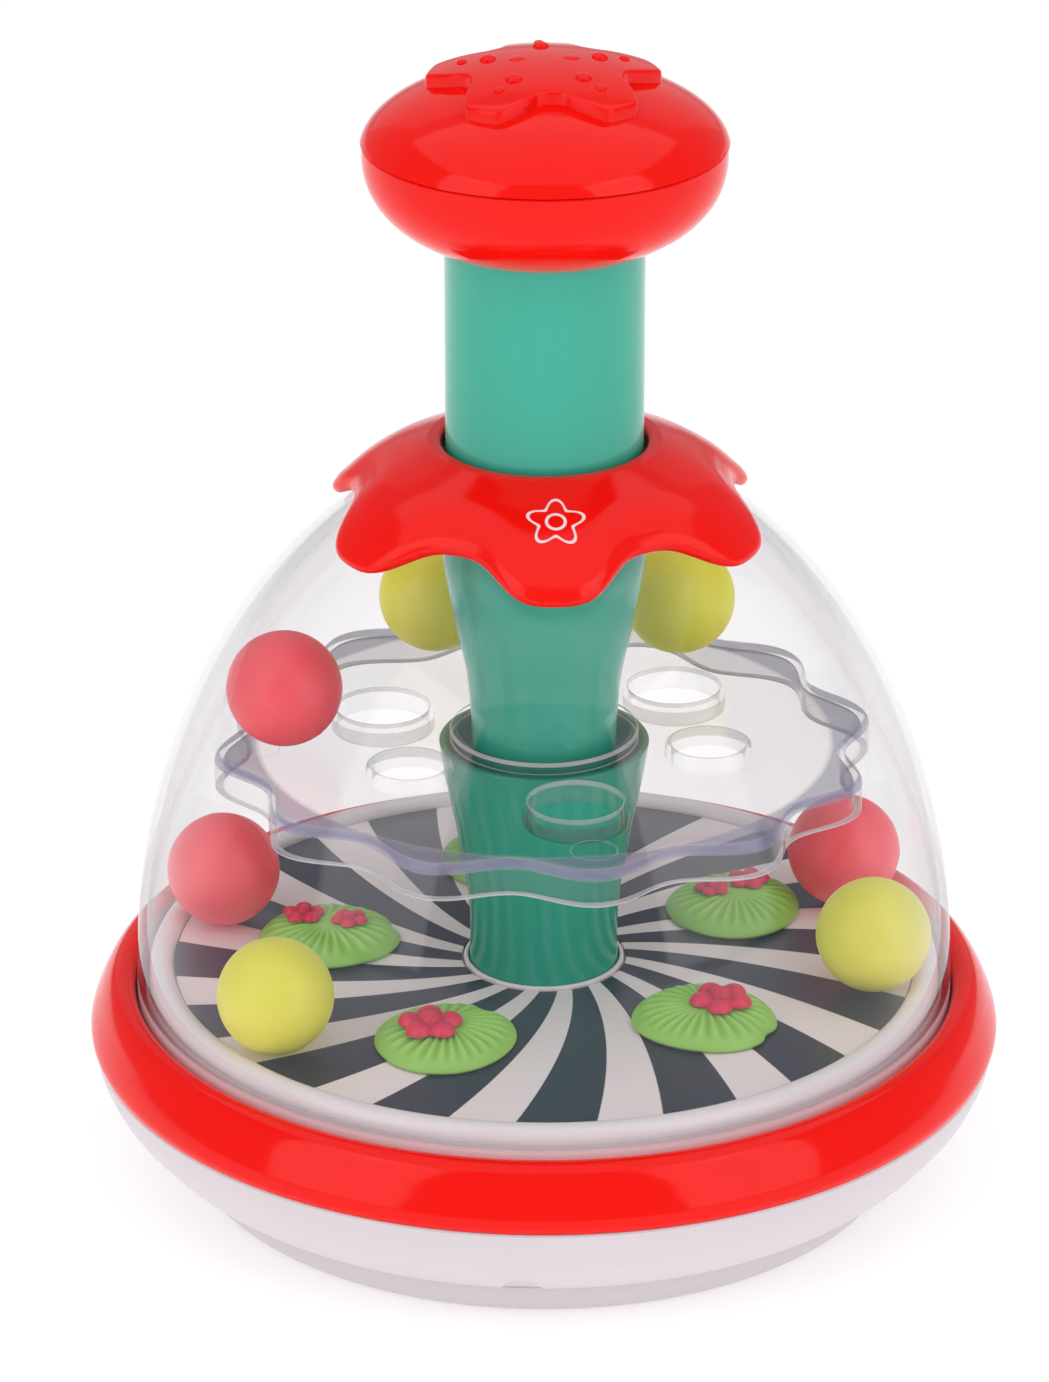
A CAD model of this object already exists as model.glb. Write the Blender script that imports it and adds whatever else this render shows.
"""Push-and-spin ball popper: fine shapes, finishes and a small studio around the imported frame.

Lengths in the outlines are millimetres, as pairs of distance from the axis and height.
"""

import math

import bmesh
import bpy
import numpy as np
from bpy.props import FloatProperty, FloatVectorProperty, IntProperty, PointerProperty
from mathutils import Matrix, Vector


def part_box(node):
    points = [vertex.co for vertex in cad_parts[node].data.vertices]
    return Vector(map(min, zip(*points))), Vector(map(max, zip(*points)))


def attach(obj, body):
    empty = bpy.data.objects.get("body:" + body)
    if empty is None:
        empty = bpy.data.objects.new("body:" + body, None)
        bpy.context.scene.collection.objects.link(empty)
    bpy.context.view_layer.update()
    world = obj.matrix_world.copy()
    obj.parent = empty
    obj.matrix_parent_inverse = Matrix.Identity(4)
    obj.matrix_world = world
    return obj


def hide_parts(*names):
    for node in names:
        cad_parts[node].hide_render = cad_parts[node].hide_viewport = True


bl_info = {
    "name": "Ball Popper Toy",
    "version": (1, 0, 0),
    "blender": (4, 5, 0),
    "location": "3D Viewport > Sidebar > Popper",
    "description": "Builds a push-down ball popper around its working frame",
    "category": "Object",
}

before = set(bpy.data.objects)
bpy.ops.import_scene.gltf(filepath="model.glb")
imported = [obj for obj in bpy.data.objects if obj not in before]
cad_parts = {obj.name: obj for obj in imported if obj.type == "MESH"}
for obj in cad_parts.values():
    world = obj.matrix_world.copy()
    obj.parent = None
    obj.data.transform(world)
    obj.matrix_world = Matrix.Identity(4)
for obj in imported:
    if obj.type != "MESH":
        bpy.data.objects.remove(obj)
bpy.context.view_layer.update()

MM = 0.001


def top_of(node):
    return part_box(node)[1].z / MM


def foot_of(node):
    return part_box(node)[0].z / MM


def reach_of(node):
    """How far a turned node's widest corner stands from the axis."""
    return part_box(node)[1].x / MM


def centre_of(node):
    low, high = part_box(node)
    return (low + high) / 2 / MM


SEAM_Z = foot_of("bumper_ring") - 0.3
CREASE_Z = top_of("base_cover") + 0.4
DISC_Z = top_of("stripe_disc")
CUP_TOP_Z = top_of("cup_column")
TRAY_Z = top_of("spinner_tray")
COLLAR_Z = top_of("collar") + 0.8
DOME_FOOT_Z = foot_of("dome")
KNOB_SEAM_Z = top_of("knob_bottom")
FRONT_PETAL = math.radians(-87.2)
TRAY_LOBE = math.radians(9.3)
TRAY_HOLE = math.radians(-80.0)
STAR_ARM = math.radians(-122.0)
SCREWS = [math.radians(85.5 + 120.0 * k) for k in range(3)]
PAD_TURNS = (0.9, -0.5, 1.2, 2.2, 0.3)
DOME_CENTRE_Z = 47.0
KNOB_CENTRE_Z = 250.0
HOLE_CIRCLE = 40.5
LARGE_HOLE = 11.0
SMALL_HOLE = 8.7
BASE_SCREW_CIRCLE = 58.0
KNOB_SCREW_CIRCLE = 30.0


# ---------------------------------------------------------------- settings


def length(name, description, default):
    return FloatProperty(name=name, description=description, default=default * MM, unit="LENGTH", precision=4)


def colour(name, description, default):
    return FloatVectorProperty(
        name=name, description=description, default=default, subtype="COLOR", size=3, min=0.0, max=1.0
    )


class PopperSizes(bpy.types.PropertyGroup):
    """The sizes that shape the visible pieces."""

    ring_radius: length("Bumper radius", "Widest radius of the bumper ring", reach_of("bumper_ring"))
    dome_radius: length("Dome radius", "Outer radius of the clear dome at its foot", 96.7)
    dome_rise: length("Dome rise", "Height of the dome's full ellipse above its widest level", 131.8)
    dome_wall: length("Dome wall", "Thickness of the clear wall", 2.0)
    tube_radius: length("Tube radius", "Outer radius of the plunger under the knob", 22.8)
    knob_radius: length("Knob radius", "Widest radius of the palm knob", 41.6)
    knob_rise: length("Knob rise", "Height of the knob's crown above its widest level", 18.2)
    knob_depth: length("Knob depth", "Depth of the knob's curve below its widest level", 24.0)
    star_height: length("Star height", "How far the star stands above the crown", 3.0)
    ball_radius: length("Ball radius", "Radius of each hollow ball", 13.5)
    collar_petals: IntProperty(name="Collar petals", description="Lobes of the red collar", default=6)
    tray_lobes: IntProperty(name="Tray lobes", description="Scallops round the clear tray", default=12)
    stripes: IntProperty(name="Stripes", description="Dark stripes on the disc", default=16)
    stripe_twist: FloatProperty(
        name="Stripe twist",
        description="Turn of the swirl for each e-fold of radius",
        default=math.radians(16.2),
        subtype="ANGLE",
    )


class PopperColours(bpy.types.PropertyGroup):
    """The colours of the mouldings and the print."""

    red: colour("Red", "Knob, collar and bumper", (0.90, 0.006, 0.003))
    teal: colour("Teal", "Plunger and cup column", (0.029, 0.42, 0.295))
    white: colour("White", "Bowl and foot", (0.68, 0.615, 0.64))
    bright: colour("Bright white", "Turntable dish and the ring at the column's foot", (0.88, 0.82, 0.84))
    leaf: colour("Leaf", "Lily pads", (0.36, 0.72, 0.13))
    petal: colour("Petal", "Flowers on the pads", (0.76, 0.022, 0.085))
    yellow: colour("Yellow", "Yellow balls", (0.74, 0.71, 0.075))
    pink: colour("Pink", "Pink-red balls", (0.95, 0.10, 0.13))
    stripe_dark: colour("Dark stripe", "Dark ink of the swirl", (0.010, 0.016, 0.036))
    stripe_pale: colour("Pale stripe", "Pale ground of the swirl", (0.90, 0.80, 0.805))
    smoke: colour("Clear edge", "Tone that the clear mouldings take on edge", (0.80, 0.79, 0.81))
    lavender: colour("Tray edge", "Tone of the tray's rounded edge", (0.13, 0.11, 0.30))


# ---------------------------------------------------------------- shader values


class Value:
    """A number in a shader: arithmetic on it adds Math nodes."""

    def __init__(self, shader, socket):
        self.shader = shader
        self.socket = socket

    def __add__(self, other):
        return self.shader.maths("ADD", self, other)

    __radd__ = __add__

    def __sub__(self, other):
        return self.shader.maths("SUBTRACT", self, other)

    def __rsub__(self, other):
        return self.shader.maths("SUBTRACT", other, self)

    def __mul__(self, other):
        return self.shader.maths("MULTIPLY", self, other)

    __rmul__ = __mul__

    def __truediv__(self, other):
        return self.shader.maths("DIVIDE", self, other)

    def __pow__(self, other):
        return self.shader.maths("POWER", self, other)

    def __abs__(self):
        return self.shader.maths("ABSOLUTE", self)

    def clamped(self):
        return self.shader.maths("ADD", self, 0.0, clamp=True)

    def between(self, low, high):
        """A soft step: 0 below low, 1 above high."""
        return ((self - low) / (high - low)).clamped()

    def band(self, middle, half, soft):
        """1 within half of the middle, fading to 0 over soft."""
        return ((half + soft - abs(self - middle)) / soft).clamped()


class Shader:
    """A material with a Principled shader and one way to add any other node."""

    def __init__(self, name, **constants):
        self.material = bpy.data.materials.new(name)
        self.material.use_nodes = True
        self.tree = self.material.node_tree
        self.surface = self.tree.nodes["Principled BSDF"]
        self.output = self.tree.nodes["Material Output"]
        for socket, value in constants.items():
            self.surface.inputs[socket.replace("_", " ")].default_value = value

    def plug(self, socket, value):
        if isinstance(value, Value):
            self.tree.links.new(value.socket, socket)
        elif isinstance(value, bpy.types.NodeSocket):
            self.tree.links.new(value, socket)
        elif isinstance(value, (tuple, list)) and len(value) == 3 and socket.type == "RGBA":
            socket.default_value = (*value, 1.0)
        else:
            socket.default_value = value

    def add(self, kind, settings=None, values=None):
        """Adds a node: its settings first, then the values or links of its sockets."""
        node = self.tree.nodes.new(kind)
        for name, setting in (settings or {}).items():
            setattr(node, name, setting)
        for socket, value in (values or {}).items():
            self.plug(node.inputs[socket], value)
        return node

    def maths(self, operation, *values, clamp=False):
        settings = {"operation": operation, "use_clamp": clamp}
        node = self.add("ShaderNodeMath", settings, dict(enumerate(values)))
        return Value(self, node.outputs[0])

    def place(self):
        """Object coordinates as three values in millimetres."""
        coordinates = self.add("ShaderNodeTexCoord").outputs["Object"]
        split = self.add("ShaderNodeSeparateXYZ", values={0: coordinates})
        return [Value(self, split.outputs[k]) * (1.0 / MM) for k in range(3)]

    def noise(self, scale, detail=2.0, stretch=(1.0, 1.0, 1.0)):
        """Noise on Object coordinates, about 0 to 1; scale is in cycles for each metre."""
        coordinates = self.add("ShaderNodeTexCoord").outputs["Object"]
        mapped = self.add("ShaderNodeMapping", values={"Vector": coordinates, "Scale": stretch})
        values = {"Vector": mapped.outputs[0], "Scale": scale, "Detail": detail}
        node = self.add("ShaderNodeTexNoise", values=values)
        return Value(self, node.outputs["Fac"])

    def attribute(self, name):
        node = self.add("ShaderNodeAttribute", {"attribute_name": name})
        return Value(self, node.outputs["Fac"])

    def blend(self, factor, first, second):
        """The first colour where the factor is 0, the second where it is 1."""
        node = self.add("ShaderNodeMix", {"data_type": "RGBA"}, {0: factor, 6: first, 7: second})
        return node.outputs[2]

    def bump(self, height, distance, strength=1.0):
        values = {"Height": height, "Distance": distance, "Strength": strength}
        node = self.add("ShaderNodeBump", values=values)
        return node.outputs["Normal"]

    def set(self, **links):
        for socket, value in links.items():
            self.plug(self.surface.inputs[socket.replace("_", " ")], value)


def tint(rgb, factor):
    """A colour made lighter or darker."""
    return tuple(min(1.0, channel * factor) for channel in rgb)


# ---------------------------------------------------------------- finishes


def moulded(name, rgb, roughness, grain=0.00002, wander=0.05, specular=0.5):
    """Moulded plastic: slight colour drift, uneven polish, faint orange peel and fine rubs."""
    shader = Shader(name, Specular_IOR_Level=specular)
    drift = shader.noise(28.0, 3.0)
    polish = shader.noise(95.0, 4.0)
    peel = shader.noise(420.0, 2.0)
    rubs = shader.noise(60.0, 6.0, (1.0, 1.0, 9.0)).between(0.60, 0.74)
    shader.set(
        Base_Color=shader.blend(drift, tint(rgb, 1.0 - wander), tint(rgb, 1.0 + wander)),
        Roughness=roughness * (0.75 + 0.5 * polish) + 0.05 * rubs,
        Normal=shader.bump(peel, grain),
    )
    return shader.material


def red_plastic():
    rgb = tuple(bpy.context.scene.popper_colours.red)
    return moulded("gloss_red_plastic", rgb, 0.10, 0.000012, 0.03, 0.2)


def collar_plastic():
    """The gloss red with a plain white flower outline printed on the front petal."""
    colours = bpy.context.scene.popper_colours
    red = tuple(colours.red)
    shader = Shader("printed_red_plastic", Specular_IOR_Level=0.2)
    x, y, z = shader.place()
    # The print lies on the petal's slope: u runs sideways and v up the slope.
    slope = math.radians(31.0)
    u = x - 2.4
    v = (y + 38.4) * math.cos(slope) + (z - 175.6) * math.sin(slope)
    reach = shader.maths("SQRT", u * u + v * v)
    turn = shader.maths("ARCTAN2", v, u)
    outline = 5.3 + 1.25 * shader.maths("COSINE", turn * 5.0 - math.radians(90.0 * 5.0))
    petals = (reach - outline).band(0.0, 0.34, 0.10)
    eye = (reach - 2.1).band(0.0, 0.30, 0.10)
    ink = shader.maths("MAXIMUM", petals, eye)
    drift = shader.noise(28.0, 3.0)
    polish = shader.noise(95.0, 4.0)
    ground = shader.blend(drift, tint(red, 0.97), tint(red, 1.03))
    shader.set(
        Base_Color=shader.blend(ink, ground, (0.86, 0.72, 0.76)),
        Roughness=0.10 + 0.06 * polish + 0.12 * ink,
        Normal=shader.bump(shader.noise(420.0) * 0.6 + ink, 0.000015),
    )
    return shader.material


def teal_plastic():
    """Satin teal with faint flow lines up the moulding."""
    teal = tuple(bpy.context.scene.popper_colours.teal)
    shader = Shader("satin_teal_plastic")
    flow = shader.noise(150.0, 4.0, (1.0, 1.0, 0.06))
    haze = shader.noise(22.0, 2.0)
    peel = shader.noise(900.0, 2.0)
    shader.set(
        Base_Color=shader.blend(0.55 * haze + 0.45 * flow, tint(teal, 0.88), tint(teal, 1.12)),
        Roughness=0.11 + 0.10 * flow,
        Normal=shader.bump(peel + flow * 1.5, 0.000016),
    )
    return shader.material


def ball_plastic(name, rgb):
    """Thin blow-moulded plastic: cloudy colour, soft sheen, and a faint glow for light let through."""
    shader = Shader(
        name,
        Emission_Strength=0.10,
        Subsurface_Weight=0.6,
        Subsurface_Scale=0.009,
        Subsurface_Radius=(1.0, 0.8, 0.6),
    )
    cloud = shader.noise(70.0, 3.0)
    speck = shader.noise(1400.0, 2.0)
    shader.set(
        Base_Color=shader.blend(cloud, tint(rgb, 0.90), tint(rgb, 1.10)),
        Emission_Color=shader.blend(cloud, tint(rgb, 0.90), rgb),
        Roughness=0.34 + 0.16 * cloud,
        Normal=shader.bump(speck + cloud, 0.00003),
    )
    return shader.material


def swirl_print():
    """Dark and pale stripes that swirl outwards, with the faint mottle of printed card."""
    sizes = bpy.context.scene.popper_sizes
    colours = bpy.context.scene.popper_colours
    shader = Shader("swirl_print")
    x, y, _ = shader.place()
    reach = shader.maths("SQRT", x * x + y * y)
    turn = shader.maths("ARCTAN2", y, x) + math.radians(88.7)
    spiral = sizes.stripe_twist * shader.maths("LOGARITHM", reach / 88.0, math.e)
    phase = (turn + spiral) * (sizes.stripes / math.tau) + 0.5
    dark = shader.maths("FRACT", phase + 40.0).band(0.5, 0.268, 0.010)
    mottle = shader.noise(900.0, 4.0)
    fade = shader.noise(35.0, 2.0)
    ink = shader.blend(mottle, tuple(colours.stripe_dark), tint(tuple(colours.stripe_dark), 1.7))
    card = shader.blend(fade, tint(tuple(colours.stripe_pale), 0.96), tint(tuple(colours.stripe_pale), 1.04))
    shader.set(
        Base_Color=shader.blend(dark, card, ink),
        Roughness=0.30 + 0.12 * mottle - 0.05 * dark,
        Normal=shader.bump(mottle + dark * 0.5, 0.00001),
    )
    return shader.material


def leaf_plastic():
    """Matt green, darker down in the pleats."""
    leaf = tuple(bpy.context.scene.popper_colours.leaf)
    shader = Shader("leaf_plastic", Subsurface_Weight=0.15, Subsurface_Scale=0.002)
    pleat = shader.attribute("pleat")
    cloud = shader.noise(140.0, 3.0)
    shader.set(
        Base_Color=shader.blend(0.75 * pleat + 0.25 * cloud, tint(leaf, 0.72), tint(leaf, 1.12)),
        Roughness=0.42 + 0.12 * cloud,
        Normal=shader.bump(shader.noise(1600.0), 0.00002),
    )
    return shader.material


def petal_plastic():
    petal = tuple(bpy.context.scene.popper_colours.petal)
    shader = Shader("petal_plastic", Subsurface_Weight=0.15, Subsurface_Scale=0.0015)
    crest = shader.attribute("crest")
    cloud = shader.noise(300.0, 3.0)
    shader.set(
        Base_Color=shader.blend(0.8 * crest + 0.2 * cloud, tint(petal, 0.62), tint(petal, 1.15)),
        Roughness=0.32 + 0.14 * cloud,
        Normal=shader.bump(cloud, 0.00003),
    )
    return shader.material


def clear_shader(name, veil, edge_tone, marks):
    """Clear moulding: see-through face on, mirror-like where it is seen on edge.

    marks takes the shader and returns how much of a mark lies on the surface, and the mark's colour.
    """
    shader = Shader(name)
    body = shader.add("ShaderNodeBsdfTransparent", values={"Color": (0.976, 0.970, 0.970, 1.0)})
    aside = Value(shader, shader.add("ShaderNodeLayerWeight", values={"Blend": 0.5}).outputs["Facing"])
    dust = shader.noise(55.0, 5.0).between(0.45, 0.8)
    tone, mark = marks(shader)
    sheen = shader.maths("MAXIMUM", veil + 0.9 * aside ** 5.0 + 0.005 * dust, tone)
    shader.set(
        Base_Color=shader.blend(tone.between(0.05, 0.3), edge_tone, mark),
        Metallic=1.0 - tone.between(0.05, 0.3),
        Roughness=0.03 + 0.05 * dust + 0.25 * tone,
    )
    mixed = shader.add(
        "ShaderNodeMixShader", values={0: sheen.clamped(), 1: body.outputs[0], 2: shader.surface.outputs[0]}
    )
    shader.tree.links.new(mixed.outputs[0], shader.output.inputs["Surface"])
    return shader.material


def dome_marks(shader):
    """The milky look of the thick foot, where the wall runs down into its flange."""
    z = shader.place()[2]
    ripple = shader.noise(120.0, 2.0)
    return (48.4 + 0.3 * ripple - z).between(0.0, 1.3) * 0.80, (0.95, 0.85, 0.88)


def dome_plastic():
    return clear_shader("clear_dome", 0.022, tuple(bpy.context.scene.popper_colours.smoke), dome_marks)


def tray_marks(shader):
    """Violet rounded edge, bright lip under it, rims of the holes and the round marks of the mould."""
    x, y, z = shader.place()
    reach = shader.maths("SQRT", x * x + y * y)
    turn = shader.maths("ARCTAN2", y, x) + math.tau

    def nearest(first, count, radius):
        """Distance from the nearest of some spots, evenly spread on a circle."""
        swing = shader.maths("PINGPONG", turn - first, math.pi / count)
        aside = reach * shader.maths("SINE", swing)
        ahead = reach * shader.maths("COSINE", swing) - radius
        return shader.maths("SQRT", aside * aside + ahead * ahead)

    upper = z.between(TRAY_Z - 1.4, TRAY_Z - 1.0)
    large = nearest(TRAY_HOLE, 3, HOLE_CIRCLE)
    small = nearest(TRAY_HOLE + math.pi / 3, 3, HOLE_CIRCLE)
    rims = 0.42 * large.band(LARGE_HOLE + 0.1, 0.18, 0.15) * upper
    rims = rims + 0.42 * small.band(SMALL_HOLE + 0.5, 0.25, 0.2) * upper
    rings = 0.30 * nearest(TRAY_LOBE, 4, 67.8).band(5.3, 0.12, 0.12) * upper
    lip = (foot_of("spinner_tray") + 0.8 - z).between(0.0, 0.25) * 0.62
    hub = reach.band(21.9, 0.2, 0.2) * 0.55
    skirt = reach.between(66.0, 68.0)
    shoulder = z.band(TRAY_Z - 1.9, 1.0, 0.4) * skirt * 0.62
    pale = shader.maths("MAXIMUM", shader.maths("MAXIMUM", lip, hub), rims + rings)
    violet = tuple(bpy.context.scene.popper_colours.lavender)
    return shader.maths("MAXIMUM", pale, shoulder), shader.blend(shoulder * 1.2, (0.74, 0.73, 0.76), violet)


def tray_plastic():
    return clear_shader("clear_tray", 0.03, tuple(bpy.context.scene.popper_colours.smoke), tray_marks)


def plated_steel():
    shader = Shader("plated_steel", Metallic=1.0)
    grain = shader.noise(700.0, 4.0, (1.0, 1.0, 0.2))
    shader.set(
        Base_Color=shader.blend(grain, (0.52, 0.52, 0.54), (0.72, 0.72, 0.73)),
        Roughness=0.22 + 0.2 * grain,
        Normal=shader.bump(grain, 0.00001),
    )
    return shader.material


def finish(name, maker):
    """One of each finish, made when it is first asked for."""
    return bpy.data.materials.get(name) or maker()


def red():
    return finish("gloss_red_plastic", red_plastic)


def teal():
    return finish("satin_teal_plastic", teal_plastic)


def white():
    rgb = tuple(bpy.context.scene.popper_colours.white)
    return finish("satin_white_plastic", lambda: moulded("satin_white_plastic", rgb, 0.34, 0.00002, 0.02))


def bright():
    rgb = tuple(bpy.context.scene.popper_colours.bright)
    return finish("bright_white_plastic", lambda: moulded("bright_white_plastic", rgb, 0.24, 0.00001, 0.02))


def grey():
    return finish("bearing_grey_plastic", lambda: moulded("bearing_grey_plastic", (0.34, 0.34, 0.35), 0.45))


def steel():
    return finish("plated_steel", plated_steel)


# ---------------------------------------------------------------- outlines and meshes


def ellipse(radius, rise, centre_z, start, end, count):
    """Points of an upright ellipse between two angles in degrees."""
    turns = [math.radians(start + (end - start) * k / (count - 1)) for k in range(count)]
    return [(radius * math.cos(t), centre_z + rise * math.sin(t)) for t in turns]


def flowing(points, per_span=4):
    """A smooth line through the given points."""
    ends = [2 * Vector(points[0]) - Vector(points[1]), 2 * Vector(points[-1]) - Vector(points[-2])]
    knots = [ends[0], *map(Vector, points), ends[1]]
    line = []
    for before, start, end, after in zip(knots, knots[1:], knots[2:], knots[3:]):
        for k in range(per_span):
            t = k / per_span
            line.append(
                0.5 * (2 * start + (end - before) * t + (2 * before - 5 * start + 4 * end - after) * t * t
                       + (3 * start - before - 3 * end + after) * t ** 3)
            )
    return [tuple(point) for point in line] + [tuple(points[-1])]


def filleted(corners, steps=5, closed=False):
    """A line with each (x, y, radius) corner rounded off."""
    count = len(corners)
    line = []
    for k, (x, y, radius) in enumerate(corners):
        point = Vector((x, y))
        if not closed and k in (0, count - 1) or radius <= 0.0:
            line.append((x, y))
            continue
        back = Vector(corners[k - 1][:2]) - point
        ahead = Vector(corners[(k + 1) % count][:2]) - point
        half = back.angle(ahead) / 2
        reach = min(radius / math.tan(half), back.length * 0.49, ahead.length * 0.49)
        centre = point + (back.normalized() + ahead.normalized()).normalized() * (reach / math.cos(half))
        start = point + back.normalized() * reach - centre
        end = point + ahead.normalized() * reach - centre
        sweep = start.angle_signed(end)
        for j in range(steps + 1):
            turn = -sweep * j / steps
            line.append(tuple(centre + Matrix.Rotation(turn, 2) @ start))
    return line


def turned(outline, steps):
    """Spins an outline about the axis; an outline that ends on the axis stays open there."""
    bm = bmesh.new()
    verts = [bm.verts.new((r, 0.0, z)) for r, z in outline]
    edges = [bm.edges.new(pair) for pair in zip(verts, verts[1:])]
    if outline[0][0] > 0.0 or outline[-1][0] > 0.0:
        edges.append(bm.edges.new((verts[-1], verts[0])))
    bmesh.ops.spin(
        bm, geom=verts + edges, cent=(0, 0, 0), axis=(0, 0, 1), angle=math.tau, steps=steps, use_merge=True
    )
    bmesh.ops.remove_doubles(bm, verts=bm.verts, dist=1e-4)
    bmesh.ops.dissolve_degenerate(bm, edges=bm.edges, dist=1e-5)
    bmesh.ops.recalc_face_normals(bm, faces=bm.faces)
    return bm


def reach(vert):
    return math.hypot(vert.co.x, vert.co.y)


def bearing(vert):
    return math.atan2(vert.co.y, vert.co.x)


def waved(bm, fixed, edge, rim_at, follow=None):
    """Stretches all that lies outside fixed so that a round edge follows rim_at(angle)."""
    for vert in bm.verts:
        r = reach(vert)
        if r <= fixed:
            continue
        grown = fixed + (r - fixed) * (rim_at(bearing(vert)) - fixed) / (edge - fixed)
        if follow:
            vert.co.z += follow(grown) - follow(r)
        vert.co.x *= grown / r
        vert.co.y *= grown / r


def put(bm, move=(0.0, 0.0, 0.0), turn=0.0, axis="Z"):
    bmesh.ops.rotate(bm, cent=(0, 0, 0), matrix=Matrix.Rotation(turn, 3, axis), verts=bm.verts)
    bmesh.ops.translate(bm, vec=move, verts=bm.verts)
    return bm


def around(radius, angle, z=0.0):
    return Vector((radius * math.cos(angle), radius * math.sin(angle), z))


def rod(radius, low, high, steps=32):
    return turned([(0.0, high), (radius, high), (radius, low), (0.0, low)], steps)


def joined(meshes):
    """Several closed shapes in one mesh, for use as one cutter."""
    whole = bmesh.new()
    for bm in meshes:
        scratch = bpy.data.meshes.new("scratch")
        bm.to_mesh(scratch)
        bm.free()
        whole.from_mesh(scratch)
        bpy.data.meshes.remove(scratch)
    return whole


def mesh_object(name, bm):
    """An object at the origin from a mesh drawn in millimetres."""
    bmesh.ops.scale(bm, vec=(MM, MM, MM), verts=bm.verts)
    mesh = bpy.data.meshes.new(name)
    bm.to_mesh(mesh)
    bm.free()
    obj = bpy.data.objects.new(name, mesh)
    bpy.context.scene.collection.objects.link(obj)
    return obj


def combine(obj, bm, operation):
    """Cuts a shape out of an object, or adds it, and bakes the result into its mesh."""
    tool = mesh_object(obj.name + "_tool", bm)
    modifier = obj.modifiers.new(operation.lower(), "BOOLEAN")
    modifier.operation = operation
    modifier.solver = "EXACT"
    modifier.object = tool
    graph = bpy.context.evaluated_depsgraph_get()
    shaped = bpy.data.meshes.new_from_object(obj.evaluated_get(graph))
    obj.modifiers.clear()
    obj.data = shaped
    bpy.data.objects.remove(tool)


def piece(name, shape, material, body, nodes, sharp=38.0):
    """Finishes a piece: its material, smooth shading, body, material slot and the nodes it stands for."""
    obj = shape if isinstance(shape, bpy.types.Object) else mesh_object(name, shape)
    obj.name = name
    obj.data.materials.clear()
    obj.data.materials.append(material)
    obj.data.shade_smooth()
    obj.data.set_sharp_from_angle(angle=math.radians(sharp))
    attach(obj, body)
    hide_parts(*nodes)
    return obj


def dome_z(r, sizes):
    """Height of the dome's outer face at a distance from the axis."""
    return DOME_CENTRE_Z + sizes.dome_rise / MM * math.sqrt(1.0 - (r * MM / sizes.dome_radius) ** 2)


# ---------------------------------------------------------------- housing


class POPPER_OT_base(bpy.types.Operator):
    """Build the white bowl with its front recess, and the foot plate under it"""

    bl_idname = "popper.base"
    bl_label = "Bowl and Foot"

    def execute(self, context):
        bowl = mesh_object("bowl_shell", turned(self.bowl_outline(), 192))
        combine(bowl, self.half_moon(), "DIFFERENCE")
        piece("bowl_shell", bowl, white(), "housing", ["base_bowl"])
        foot = mesh_object("foot_plate", turned(self.foot_outline(), 192))
        spots = [around(BASE_SCREW_CIRCLE, a) for a in SCREWS]
        combine(foot, joined([put(rod(6.6, 1.0, 6.2), spot, 0.1) for spot in spots]), "UNION")
        combine(foot, joined([put(rod(4.9, -2.0, 4.6), spot, 0.2) for spot in spots]), "DIFFERENCE")
        combine(foot, joined([put(rod(2.0, 4.0, 10.0, 20), spot, 0.3) for spot in spots]), "DIFFERENCE")
        piece("foot_plate", foot, white(), "housing", ["base_cover"])
        return {"FINISHED"}

    def bowl_outline(self):
        skin = flowing(
            [(107.3, SEAM_Z - 0.5), (106.4, 27.6), (104.3, 22.9), (102.6, 20.4), (100.6, 17.9), (98.4, 15.4),
             (95.9, 13.0), (93.2, 11.0), (90.4, 9.5), (88.3, CREASE_Z + 0.3)]
        )
        works = [
            (87.8, CREASE_Z, 0.0), (6.6, CREASE_Z, 0.3), (6.6, 47.3, 0.3), (8.6, 47.3, 0.5), (8.6, 39.9, 0.2),
            (12.5, 39.9, 0.4), (12.5, 10.6, 1.0), (86.6, 10.6, 3.0), (94.6, 15.4, 3.0), (101.4, 25.0, 1.0),
            (96.9, 29.6, 0.5), (96.9, SEAM_Z, 0.2), (107.0, SEAM_Z, 0.0),
        ]
        return skin + filleted(works, 3)

    def half_moon(self):
        """A long half disc on the bowl's slope, flat side on the crease, that pares off its skin."""
        low, high = Vector((90.2, CREASE_Z + 1.0)), Vector((99.8, CREASE_Z + 8.7))
        bm = bmesh.new()
        bmesh.ops.create_cone(bm, segments=96, cap_ends=True, radius1=1.0, radius2=1.0, depth=8.0)
        bmesh.ops.translate(bm, vec=(0.0, 0.0, -4.0), verts=bm.verts)
        bmesh.ops.scale(bm, vec=(4.8, (high - low).length, 1.0), verts=bm.verts)
        whole = [*bm.verts, *bm.edges, *bm.faces]
        cut = bmesh.ops.bisect_plane(
            bm, geom=whole, plane_co=(0, 0, 0), plane_no=(0, -1, 0), clear_inner=True
        )
        rim = [item for item in cut["geom_cut"] if isinstance(item, bmesh.types.BMEdge)]
        bmesh.ops.contextual_create(bm, geom=rim)
        bmesh.ops.recalc_face_normals(bm, faces=bm.faces)
        lean = math.atan2(high.y - low.y, high.x - low.x)
        put(bm, turn=-lean, axis="X")
        put(bm, (0.0, -low.x, low.y + 0.3))
        return put(bm, turn=math.radians(-3.1))

    def foot_outline(self):
        inside = [(0.0, 2.2, 0.0), (82.0, 2.2, 2.0), (84.2, 4.6, 2.0), (84.8, 8.0, 0.2), (87.0, 8.0, 0.0)]
        skin = flowing([(87.3, 7.7), (87.1, 6.2), (86.6, 4.4), (85.8, 2.6), (84.6, 0.9), (83.0, 0.0)], 4)
        return filleted(inside, 3) + skin + [(78.0, 0.0), (0.0, 0.0)]


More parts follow.
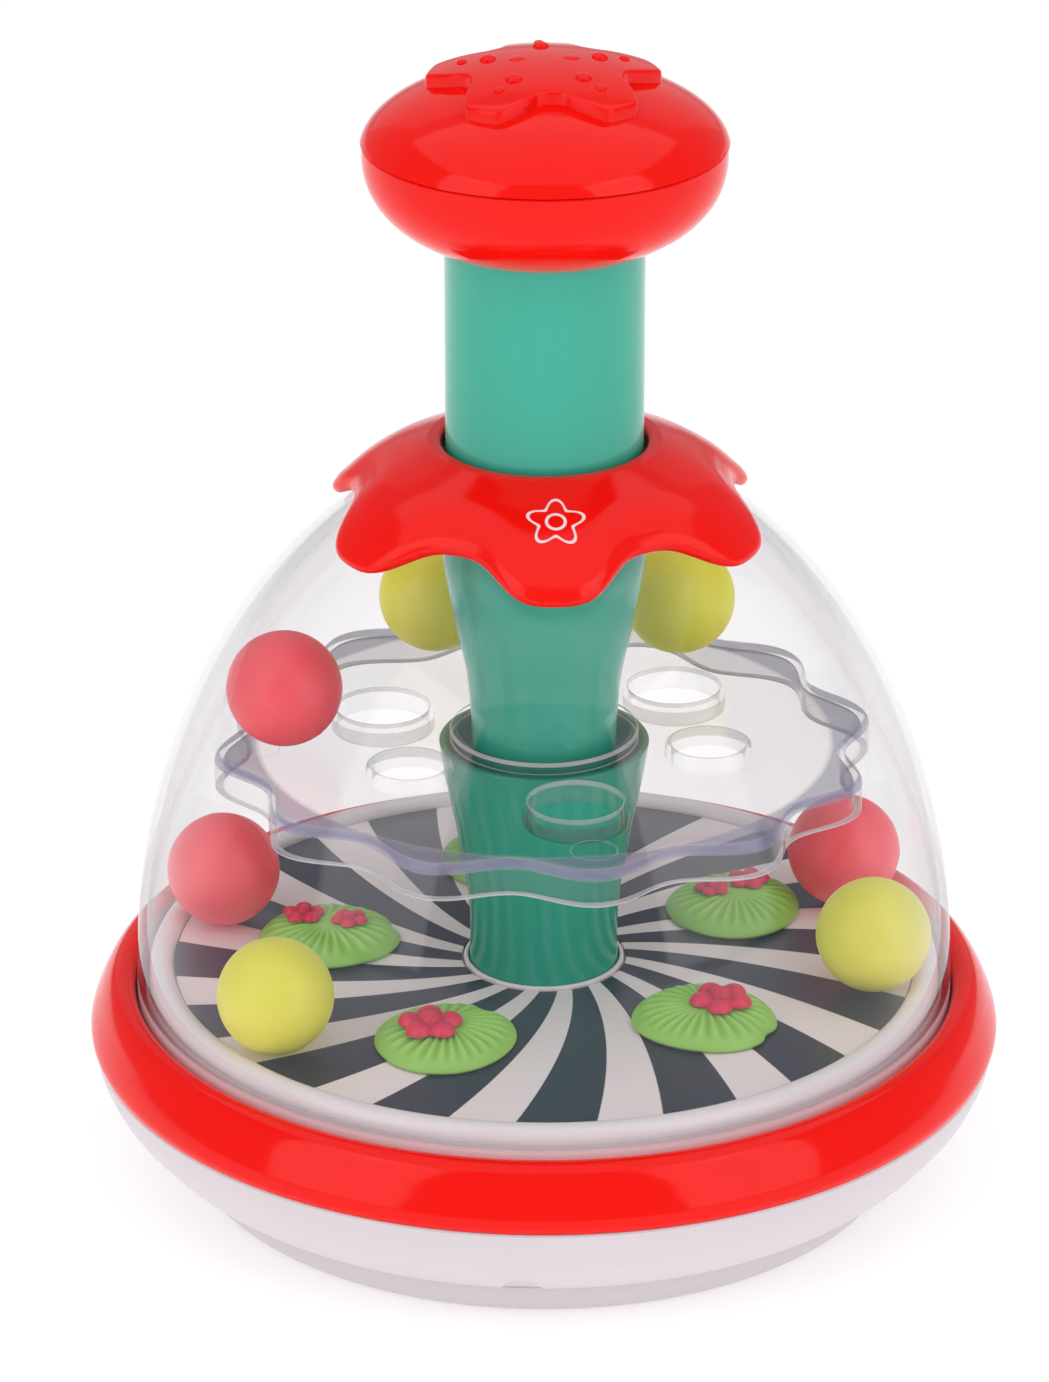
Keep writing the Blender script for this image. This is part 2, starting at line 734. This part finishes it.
class POPPER_OT_bumper(bpy.types.Operator):
    """Build the red bumper ring that clamps the dome"""

    bl_idname = "popper.bumper"
    bl_label = "Bumper Ring"

    def execute(self, context):
        reach_mm = context.scene.popper_sizes.ring_radius / MM
        skin = flowing(
            [(97.1, 43.6), (97.5, 45.4), (98.7, 46.8), (100.6, 47.15), (102.6, 46.2), (104.5, 43.8),
             (106.0, 40.9), (107.2, 38.1), (reach_mm - 0.1, 35.8), (reach_mm, 34.2),
             (reach_mm - 0.4, SEAM_Z + 0.5)]
        )
        works = [
            (reach_mm - 0.9, SEAM_Z + 0.2, 0.0), (105.8, SEAM_Z + 0.3, 0.3), (105.8, 35.6, 1.0),
            (104.2, 41.0, 2.0), (101.4, 44.6, 1.4), (99.1, 43.6, 0.6), (99.1, 35.8, 0.3), (97.1, 35.8, 0.3),
            (97.1, 40.0, 0.0),
        ]
        ring = turned(skin + filleted(works, 3), 224)
        piece("bumper", ring, red(), "housing", ["bumper_ring"])
        return {"FINISHED"}


class POPPER_OT_dome(bpy.types.Operator):
    """Build the clear bell-shaped dome with its clamped flange"""

    bl_idname = "popper.dome"
    bl_label = "Clear Dome"

    def execute(self, context):
        sizes = context.scene.popper_sizes
        outer_r, rise, wall = sizes.dome_radius / MM, sizes.dome_rise / MM, sizes.dome_wall / MM
        neck = 27.6
        outer = ellipse(outer_r, rise, DOME_CENTRE_Z, math.degrees(math.acos(neck / outer_r)), 0.0, 56)
        inner_r = outer_r - wall
        end = math.degrees(math.acos(neck / inner_r))
        inner = ellipse(inner_r, rise - wall, DOME_CENTRE_Z, 0.0, end, 52)
        flange = [
            (outer_r, 35.4, 0.6), (100.5, 35.4, 0.4), (100.5, DOME_FOOT_Z, 0.4), (inner_r, DOME_FOOT_Z, 0.4)
        ]
        line = outer + filleted([(outer_r, 44.0, 0.0), *flange, (inner_r, 44.0, 0.0)], 3) + inner
        piece("clear_bell", turned(line, 224), dome_plastic(), "housing", ["dome"])
        return {"FINISHED"}


class POPPER_OT_collar(bpy.types.Operator):
    """Build the six-petalled collar with its rolled edge"""

    bl_idname = "popper.collar"
    bl_label = "Petal Collar"

    def execute(self, context):
        sizes = context.scene.popper_sizes
        petals = sizes.collar_petals

        def lift(r):
            return dome_z(r, sizes) + 0.6

        edge = 48.5

        crown = filleted([(23.6, 177.4, 0.0), (23.6, COLLAR_Z, 1.2), (27.0, COLLAR_Z - 0.2, 0.0)], 6)[1:]
        slope = flowing(
            [(27.0, COLLAR_Z - 0.25), (32.0, 178.9), (37.0, 176.7), (41.5, 173.8), (45.0, 170.6)], 5
        )
        roll = flowing([(47.0, 168.7), (48.1, 167.1), (edge, 165.7), (48.0, 164.4), (47.2, 163.9)], 5)
        under = filleted(
            [(46.0, lift(46.0) + 1.6, 0.5), (44.0, lift(44.0) + 0.8, 2.0), (38.0, lift(38.0), 2.0),
             (28.0, lift(28.0), 0.3), (28.0, 177.4, 0.3)], 4
        )
        bm = turned(crown + slope + roll + under + [(23.6, 177.4)], 360)

        def rim_at(angle):
            turn = petals * (angle - FRONT_PETAL)
            return edge + 5.1 * math.cos(turn) - 0.15 * math.cos(2 * turn) - 0.42 * math.cos(3 * turn)

        waved(bm, 30.0, edge, rim_at, lambda r: dome_z(r, sizes))
        self.gather(bm, petals)
        piece("petal_collar", bm, collar_plastic(), "housing", ["collar"], 60.0)
        return {"FINISHED"}

    def gather(self, bm, petals):
        """Sinks the top face a little between two petals."""
        for vert in bm.verts:
            r = reach(vert)
            if r < 28.5 or vert.co.z < 160.0:
                continue
            valley = 0.5 - 0.5 * math.cos(petals * (bearing(vert) - FRONT_PETAL))
            above = vert.co.z - dome_z(r, bpy.context.scene.popper_sizes)
            upper = min(1.0, max(0.0, (above - 2.0) / 4.0))
            vert.co.z -= 0.7 * valley ** 2 * upper * min(1.0, (r - 28.5) / 10.0)


# ---------------------------------------------------------------- rotor


class POPPER_OT_turntable(bpy.types.Operator):
    """Build the white dish, the swirl-printed disc and the ring at the column's foot"""

    bl_idname = "popper.turntable"
    bl_label = "Turntable"

    def execute(self, context):
        dish = flowing(
            [(88.0, 47.9), (88.1, 49.7), (88.9, 51.0), (90.6, 51.7), (92.4, 51.2), (93.5, 49.7), (93.8, 47.6)]
        )
        works = [
            (93.8, 46.0, 0.0), (93.8, 44.6, 0.3), (91.8, 44.6, 0.3), (91.2, 46.0, 0.3), (12.5, 46.0, 0.5),
            (12.5, 42.0, 0.3), (9.0, 42.0, 0.3), (9.0, 47.8, 0.2), (87.9, 47.8, 0.0),
        ]
        piece("dish", turned(dish + filleted(works, 3), 224), bright(), "rotor", ["turntable"])
        disc = filleted(
            [(19.6, 48.1, 0.1), (19.6, DISC_Z, 0.15), (87.7, DISC_Z, 0.15), (87.7, 48.1, 0.1)], 3, True
        )
        finish_here = finish("swirl_print", swirl_print)
        piece("swirl_disc", turned(disc, 224), finish_here, "rotor", ["stripe_disc"])
        ring = filleted([(18.0, 48.1, 0.1), (18.0, 49.9, 0.3), (19.0, 49.9, 0.6), (19.2, 48.1, 0.1)], 4, True)
        piece("foot_ring", turned(ring, 128), bright(), "rotor", ["hub_ring"])
        return {"FINISHED"}


class POPPER_OT_cup(bpy.types.Operator):
    """Build the flared teal cup column"""

    bl_idname = "popper.cup"
    bl_label = "Cup Column"

    def execute(self, context):
        skin = flowing(
            [(24.6, CUP_TOP_Z - 0.4), (23.9, 100.6), (23.0, 95.4), (22.1, 90.6), (20.7, 84.0), (19.6, 76.8),
             (18.6, 71.2), (17.85, 65.4), (17.5, 59.0), (17.5, 53.0), (17.7, 49.4)]
        )
        foot = filleted(
            [(17.8, 48.6, 0.0), (17.6, 48.1, 0.2), (12.0, 48.1, 0.2), (12.0, 49.8, 0.3), (15.9, 49.8, 0.3),
             (15.9, 60.0, 0.0)], 3
        )
        inner = flowing(
            [(16.0, 66.8), (17.7, 76.6), (18.9, 83.7), (20.5, 90.9), (22.0, 99.7), (23.0, CUP_TOP_Z - 0.3)]
        )
        line = skin + foot + inner + [(23.3, CUP_TOP_Z), (24.3, CUP_TOP_Z)]
        piece("flared_cup", turned(line, 160), teal(), "rotor", ["cup_column"])
        return {"FINISHED"}


class POPPER_OT_tray(bpy.types.Operator):
    """Build the clear scalloped tray with its six lipped holes"""

    bl_idname = "popper.tray"
    bl_label = "Scalloped Tray"

    def execute(self, context):
        lobes = context.scene.popper_sizes.tray_lobes
        foot = foot_of("spinner_tray")
        edge, fixed = 74.0, 58.0
        line = filleted(
            [(20.4, 106.2, 0.3), (20.4, 109.0, 0.4), (21.7, 109.0, 0.5), (22.2, TRAY_Z, 0.4),
             (fixed, TRAY_Z, 0.0), (edge, TRAY_Z, 2.8), (edge, foot, 0.6), (edge - 1.5, foot, 0.6),
             (edge - 1.6, 106.2, 1.6), (fixed, 106.2, 0.0)], 7, True
        )
        bm = turned(line, 432)

        def rim_at(angle):
            return edge + 3.6 * math.cos(lobes * (angle - TRAY_LOBE))

        waved(bm, fixed, edge, rim_at)
        tray = mesh_object("scalloped_tray", bm)
        spots = [(around(HOLE_CIRCLE, TRAY_HOLE + k * math.tau / 6), k % 2) for k in range(6)]
        lips = [self.lip(small) for _, small in spots]
        combine(tray, joined([put(lip, spot, 0.05) for lip, (spot, _) in zip(lips, spots)]), "UNION")
        holes = [rod(SMALL_HOLE if small else LARGE_HOLE, 95.0, 118.0, 64) for _, small in spots]
        combine(tray, joined([put(hole, spot, 0.05) for hole, (spot, _) in zip(holes, spots)]), "DIFFERENCE")
        piece("clear_tray", tray, tray_plastic(), "rotor", ["spinner_tray"], 50.0)
        return {"FINISHED"}

    def lip(self, small):
        """A short collar: the small holes stand up from the tray and the large ones hang below it."""
        line = [(0.0, 107.9, 0.0), (12.4, 107.9, 0.2), (12.2, 102.4, 0.6), (0.0, 102.4, 0.0)]
        if small:
            line = [(0.0, 110.9, 0.0), (9.9, 110.9, 0.6), (10.4, 107.0, 0.0), (0.0, 107.0, 0.0)]
        return turned(filleted(line, 4), 64)


class POPPER_OT_pads(bpy.types.Operator):
    """Build the pleated lily pads and the flowers that sit on them"""

    bl_idname = "popper.pads"
    bl_label = "Pads and Flowers"

    def execute(self, context):
        leaf = finish("leaf_plastic", leaf_plastic)
        petal = finish("petal_plastic", petal_plastic)
        for k in range(5):
            node = f"lily_pad_{k + 1}"
            spot = centre_of(node)
            bm = self.pad(PAD_TURNS[k])
            bmesh.ops.translate(bm, vec=(spot.x, spot.y, foot_of(node)), verts=bm.verts)
            piece(f"leaf_pad_{k + 1}", bm, leaf, "rotor", [node], 80.0)
        for k in range(7):
            node = f"flower_{k + 1}"
            low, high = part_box(node)
            spot = centre_of(node)
            bm = self.bloom((high.x - low.x) / 2 / MM * 1.02, 0.35 + 0.5 * k)
            bmesh.ops.translate(bm, vec=(spot.x, spot.y, foot_of(node) + 0.2), verts=bm.verts)
            piece(f"bloom_{k + 1}", bm, petal, "rotor", [node], 80.0)
        return {"FINISHED"}

    def pad(self, turn):
        """A domed leaf: fine pleats run from its middle to a smooth rolled edge."""
        steps = 216
        crest = flowing([(0.0, 5.0), (4.0, 4.9), (8.0, 4.5), (11.5, 3.9), (14.2, 3.0), (15.9, 1.9)], 5)
        line = crest + flowing([(16.6, 1.1), (16.8, 0.5), (16.4, 0.0)], 3) + [(0.0, 0.0)]
        bm = turned(line, steps)
        pleats = bm.verts.layers.float.new("pleat")
        for vert in bm.verts:
            r, angle = reach(vert), bearing(vert)
            if vert.co.z < 0.05:
                vert[pleats] = 0.3
                continue
            inward = min(1.0, max(0.0, (r - 3.5) / 4.0))
            outward = min(1.0, max(0.0, (15.6 - r) / 2.6))
            ripple = math.sin(27 * angle + 1.3 * math.sin(3 * angle + turn) + 0.10 * r)
            vert.co.z += 0.34 * ripple * inward * outward
            vert[pleats] = 0.5 + 0.5 * ripple * inward * outward
        for vert in bm.verts:
            angle = bearing(vert)
            swell = 0.035 * math.cos(2 * angle) + 0.02 * math.cos(3 * angle + 1.0)
            notch = 0.085 * math.exp(-((angle / 0.16) ** 2))
            vert.co.xy *= 0.985 + swell - notch
        return put(bm, turn=turn)

    def bloom(self, radius, turn):
        """Five puffed petals about a round heart, as one skin."""
        bm = bmesh.new()
        bmesh.ops.create_icosphere(bm, subdivisions=5, radius=1.0)
        crests = bm.verts.layers.float.new("crest")
        petals = [around(0.60 * radius, turn + k * math.tau / 5) for k in range(5)]
        puff, heart = 0.40 * radius, 0.47 * radius
        for vert in bm.verts:
            ray = vert.co.normalized()
            out = heart
            for middle in petals:
                along = ray.dot(middle)
                inside = along ** 2 - middle.length_squared + puff ** 2
                if along > 0.0 and inside > 0.0:
                    out = max(out, along + math.sqrt(inside))
            vert.co = ray * out
            hub = Vector((vert.co.x, vert.co.y, 0.0)).length / radius
            vert[crests] = min(1.0, max(0.0, abs(hub - 0.40) * 3.0 + 0.25))
            vert.co.z = max(0.0, vert.co.z) * 0.72 * (1.25 if hub < 0.33 else 1.0)
        bmesh.ops.recalc_face_normals(bm, faces=bm.faces)
        return bm


class POPPER_OT_balls(bpy.types.Operator):
    """Build the hollow balls, each with the seam of its mould"""

    bl_idname = "popper.balls"
    bl_label = "Balls"

    def execute(self, context):
        colours = context.scene.popper_colours

        def ball_finish(name, rgb):
            return finish(name, lambda: ball_plastic(name, tuple(rgb)))

        yellow = ball_finish("ball_yellow_plastic", colours.yellow)
        pink = ball_finish("ball_pink_plastic", colours.pink)
        pinks = {"ball_3", "ball_4", "ball_5"}
        for k in range(7):
            node = f"ball_{k + 1}"
            bm = self.ball(context.scene.popper_sizes.ball_radius / MM)
            put(bm, turn=1.1 + 0.5 * k, axis="X")
            put(bm, centre_of(node), 0.9 * k + 0.4, "Y")
            paint, slot = (pink, "ball_pink") if node in pinks else (yellow, "ball_yellow")
            piece(f"pop_ball_{k + 1}", bm, paint, node, [node], 60.0)
        return {"FINISHED"}

    def ball(self, radius):
        """A sphere with a fine raised seam round its middle."""
        line = [(0.0, radius)]
        turns = [90.0 - 88.5 * k / 28 for k in range(1, 29)]
        upper = [(radius * math.cos(math.radians(t)), radius * math.sin(math.radians(t))) for t in turns]
        seam = [(radius + 0.06, 0.22), (radius + 0.09, 0.0), (radius + 0.06, -0.22)]
        lower = [(r, -z) for r, z in reversed(upper)]
        return turned(line + upper + seam + lower + [(0.0, -radius)], 96)


# ---------------------------------------------------------------- plunger


class POPPER_OT_plunger(bpy.types.Operator):
    """Build the teal plunger: tube, stop flange and tapered neck"""

    bl_idname = "popper.plunger"
    bl_label = "Plunger"

    def execute(self, context):
        tube = context.scene.popper_sizes.tube_radius / MM
        wall = 1.8
        head = [
            (tube - wall, 235.0, 0.3), (24.2, 235.0, 0.4), (24.2, 232.8, 0.2), (tube, 232.8, 0.2),
            (tube, 164.6, 0.2), (25.3, 164.6, 0.5), (25.3, 162.6, 0.6), (24.3, 160.6, 0.0),
        ]
        taper = [
            (24.0, 158.0), (23.5, 151.0), (22.6, 145.4), (21.5, 139.5), (20.5, 134.6), (19.5, 130.0),
            (18.7, 126.2), (18.1, 122.8), (17.5, 117.6), (17.1, 111.6), (16.9, 104.0), (16.8, 100.6),
        ]
        end = [(16.5, 100.0), (15.3, 100.0)]
        inner = [(r - wall, z) for r, z in reversed(taper[1:-1])]
        inner += [(tube - wall, 158.0), (tube - wall, 170.0)]
        line = filleted([(tube - wall, 200.0, 0.0), *head], 4) + flowing(taper) + end + flowing(inner, 3)
        piece("plunger_column", turned(line, 160), teal(), "plunger", ["plunger_tube"])
        return {"FINISHED"}


class POPPER_OT_knob(bpy.types.Operator):
    """Build the palm knob: lower shell with screw recesses, crown and raised star"""

    bl_idname = "popper.knob"
    bl_label = "Palm Knob"

    def execute(self, context):
        sizes = context.scene.popper_sizes
        self.radius, self.rise = sizes.knob_radius / MM, sizes.knob_rise / MM
        self.depth = sizes.knob_depth / MM
        self.centre, self.wall, self.star = KNOB_CENTRE_Z, 2.2, sizes.star_height / MM
        under = mesh_object("knob_under", turned(self.under_outline(), 192))
        spots = [around(KNOB_SCREW_CIRCLE, a) for a in SCREWS]
        combine(under, joined([put(rod(5.2, 236.7, 246.0), spot, 0.1) for spot in spots]), "UNION")
        combine(under, joined([put(rod(3.9, 220.0, 243.4, 48), spot, 0.2) for spot in spots]), "DIFFERENCE")
        combine(under, joined([put(rod(1.8, 240.0, 249.0, 20), spot, 0.3) for spot in spots]), "DIFFERENCE")
        piece("knob_under", under, red(), "plunger", ["knob_bottom"], 30.0)
        crown = mesh_object("knob_crown", turned(self.crown_outline(), 224))
        combine(crown, self.star_plate(), "UNION")
        combine(crown, joined(self.dots()), "UNION")
        combine(crown, self.hollow(), "DIFFERENCE")
        piece("knob_crown", crown, red(), "plunger", ["knob_top"], 40.0)
        return {"FINISHED"}

    def crown_z(self, r):
        return self.centre + self.rise * math.sqrt(1.0 - (r / self.radius) ** 2)

    def fuller_arc(self, radius, depth, count):
        """The knob's underside, a little fuller than an ellipse, from its widest level in to the hole."""
        fullness, hole = 2.3, 23.3
        line = []
        for k in range(count):
            r = radius - (radius - hole) * (1.0 - math.cos(math.pi / 2 * k / (count - 1)))
            drop = depth * max(0.0, 1.0 - (r / radius) ** fullness) ** (1.0 / fullness)
            line.append((r, self.centre - drop))
        return line

    def under_outline(self):
        outer_r = self.radius - 0.3
        inner_r = outer_r - self.wall
        skin = self.fuller_arc(outer_r, self.depth, 40)
        lining = self.fuller_arc(inner_r, self.depth - self.wall, 24)[::-1]
        rim = [(inner_r, KNOB_SEAM_Z), (outer_r - 0.3, KNOB_SEAM_Z), (outer_r - 0.05, KNOB_SEAM_Z - 0.3)]
        return rim + skin + lining

    def crown_outline(self):
        low = KNOB_SEAM_Z + 0.3 - self.centre
        start = math.degrees(math.asin((low + 0.35) / self.rise))
        skin = ellipse(self.radius + 0.3, self.rise, self.centre, 90.0, start, 64)
        skin[0] = (0.0, skin[0][1])
        inner_r = self.radius - self.wall
        begin = math.degrees(math.asin(low / (self.rise - self.wall)))
        lining = ellipse(inner_r, self.rise - self.wall, self.centre, begin, 90.0, 24)
        lining[-1] = (0.0, lining[-1][1])
        edge = [(self.radius - 0.05, low + self.centre + 0.08), (self.radius - 0.4, low + self.centre)]
        return skin + edge + lining

    def hollow(self):
        """The crown's inside, cut again after the star is added."""
        inner_r = self.radius - self.wall - 0.02
        line = ellipse(inner_r, self.rise - self.wall - 0.02, self.centre, 90.0, 8.0, 24)
        line[0] = (0.0, line[0][1])
        return turned(line + [(0.0, line[-1][1])], 96)

    def star_plate(self):
        """A blunt-armed star whose top face follows the crown, with a rounded rim."""
        corners = []
        for k in range(5):
            arm = STAR_ARM + k * math.tau / 5
            for aside, reach_mm, fillet in ((-0.17, 27.2, 2.6), (0.17, 27.2, 2.6), (math.pi / 5, 16.9, 6.0)):
                spot = around(reach_mm, arm + aside)
                corners.append((spot.x, spot.y, fillet))
        edge = filleted(corners, 8, True)
        turns = np.array([math.atan2(y, x) for x, y in edge])
        reaches = np.array([math.hypot(x, y) for x, y in edge])
        order = np.argsort(turns)
        turns, reaches = turns[order], reaches[order]
        rows = [(0.0, 0.0)] + [(20.0 * k / 12, 0.0) for k in range(1, 12)]
        rows += filleted([(18.6, 0.0, 0.0), (20.0, 0.0, 1.1), (20.25, -6.5, 0.0)], 7)[1:]
        bm = turned(rows + [(0.0, -6.5)], 400)
        for vert in bm.verts:
            share = reach(vert) / 20.0
            if share > 0.0:
                grown = share * float(np.interp(bearing(vert), turns, reaches, period=math.tau))
                vert.co.xy *= grown / reach(vert)
                vert.co.z += self.crown_z(grown) + self.star
            else:
                vert.co.z += self.crown_z(0.0) + self.star
        return bm

    def dots(self):
        """Small domes along the arms, smaller outwards, and two flat ones near the middle."""
        made = []
        spots = [(around(13.2, STAR_ARM + k * math.tau / 5), 1.95, 1.1) for k in range(5)]
        spots += [(around(19.2, STAR_ARM + k * math.tau / 5), 1.25, 0.75) for k in range(5)]
        spots += [(around(6.4, STAR_ARM + k * math.tau / 5), 2.0, 0.45) for k in (2, 4)]
        for spot, radius, height in spots:
            bm = bmesh.new()
            bmesh.ops.create_uvsphere(bm, u_segments=32, v_segments=20, radius=radius)
            bmesh.ops.scale(bm, vec=(1.0, 1.0, height / radius), verts=bm.verts)
            z = self.crown_z(spot.length) + self.star - 0.05
            lean = Vector((spot.x, spot.y, (self.radius / self.rise) ** 2 * (z - self.centre)))
            turn = Vector((0, 0, 1)).rotation_difference(lean).to_matrix()
            bmesh.ops.rotate(bm, cent=(0, 0, 0), matrix=turn, verts=bm.verts)
            made.append(put(bm, (spot.x, spot.y, z)))
        return made


# ---------------------------------------------------------------- inner works and studio


class POPPER_OT_works(bpy.types.Operator):
    """Give the inner works their steel and unpolished plastic"""

    bl_idname = "popper.works"
    bl_label = "Inner Works"

    def execute(self, context):
        plastic = ["guide_bush", "bearing_washer", "clutch_ring", "clutch_cap", "clutch_nut"]
        metal = ["return_spring", "drive_strip", "spring_washer"]
        metal += [f"{place}_screw_{k}" for place in ("base", "knob") for k in (1, 2, 3)]
        for names, material in ((plastic, grey()), (metal, steel())):
            for name in names:
                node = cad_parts[name]
                node.data.materials.clear()
                node.data.materials.append(material)
        return {"FINISHED"}


def light(name, place, aim, width, height, watts, tone=(1.0, 1.0, 1.0)):
    """A rectangular softbox that faces a point."""
    lamp = bpy.data.lights.new(name, "AREA")
    lamp.shape = "RECTANGLE"
    lamp.size = width
    lamp.size_y = height
    lamp.energy = watts
    lamp.color = tone
    obj = bpy.data.objects.new(name, lamp)
    obj.location = place
    obj.rotation_euler = (Vector(aim) - Vector(place)).to_track_quat("-Z", "Y").to_euler()
    bpy.context.scene.collection.objects.link(obj)
    return obj


class POPPER_OT_stage(bpy.types.Operator):
    """Set the pale floor, the soft studio light and the camera"""

    bl_idname = "popper.stage"
    bl_label = "Studio"

    def execute(self, context):
        self.floor()
        self.world()
        middle = (0.0, 0.0, 0.12)
        light("softbox_left", (-1.2, -1.0, 0.8), middle, 1.1, 1.6, 9.0)
        light("softbox_right", (1.2, -1.0, 0.8), middle, 1.1, 1.6, 9.0)
        light("softbox_top", (0.0, 0.0, 1.8), middle, 3.0, 2.6, 20.0)
        light("softbox_back", (0.0, 1.6, 0.9), middle, 2.0, 1.2, 1.5)
        self.camera(context.scene)
        context.scene.view_settings.view_transform = "Standard"
        return {"FINISHED"}

    def floor(self):
        bm = bmesh.new()
        bmesh.ops.create_grid(bm, x_segments=8, y_segments=8, size=6000.0)
        floor = mesh_object("floor", bm)
        shader = Shader("pale_floor", Roughness=0.75)
        cloud = shader.noise(3.0, 2.0)
        shader.set(
            Base_Color=shader.blend(cloud, (0.93, 0.93, 0.93), (0.95, 0.95, 0.95)),
            Emission_Color=(1.0, 1.0, 1.0),
            Emission_Strength=0.30,
        )
        floor.data.materials.append(shader.material)

    def world(self):
        world = bpy.data.worlds.new("studio")
        world.use_nodes = True
        backdrop = world.node_tree.nodes["Background"]
        backdrop.inputs["Color"].default_value = (0.93, 0.95, 1.0, 1.0)
        backdrop.inputs["Strength"].default_value = 0.36
        bpy.context.scene.world = world

    def camera(self, scene):
        lens = bpy.data.cameras.new("view")
        lens.lens = 149.9
        lens.sensor_width = 36.0
        lens.clip_end = 50.0
        eye = bpy.data.objects.new("view", lens)
        eye.location = (-0.0046, -1.232, 0.6537)
        eye.rotation_euler = (math.radians(90.0 - 23.51), 0.0, 0.0)
        scene.collection.objects.link(eye)
        scene.camera = eye


class POPPER_PT_panel(bpy.types.Panel):
    """Sizes, colours and the building steps"""

    bl_idname = "POPPER_PT_panel"
    bl_label = "Ball Popper"
    bl_space_type = "VIEW_3D"
    bl_region_type = "UI"
    bl_category = "Popper"

    def draw(self, context):
        scene = context.scene
        for title, group in (("Sizes", scene.popper_sizes), ("Colours", scene.popper_colours)):
            box = self.layout.box()
            box.label(text=title)
            for name in group.__annotations__:
                box.prop(group, name)
        for operator in OPERATORS:
            self.layout.operator(operator.bl_idname)


OPERATORS = (
    POPPER_OT_base,
    POPPER_OT_bumper,
    POPPER_OT_dome,
    POPPER_OT_collar,
    POPPER_OT_turntable,
    POPPER_OT_cup,
    POPPER_OT_tray,
    POPPER_OT_pads,
    POPPER_OT_balls,
    POPPER_OT_plunger,
    POPPER_OT_knob,
    POPPER_OT_works,
    POPPER_OT_stage,
)
CLASSES = (PopperSizes, PopperColours, *OPERATORS, POPPER_PT_panel)


def register():
    for cls in CLASSES:
        bpy.utils.register_class(cls)
    bpy.types.Scene.popper_sizes = PointerProperty(type=PopperSizes)
    bpy.types.Scene.popper_colours = PointerProperty(type=PopperColours)


def unregister():
    del bpy.types.Scene.popper_colours
    del bpy.types.Scene.popper_sizes
    for cls in reversed(CLASSES):
        bpy.utils.unregister_class(cls)


def main():
    register()
    for operator in OPERATORS:
        group, name = operator.bl_idname.split(".")
        getattr(getattr(bpy.ops, group), name)()


if __name__ == "__main__":
    main()
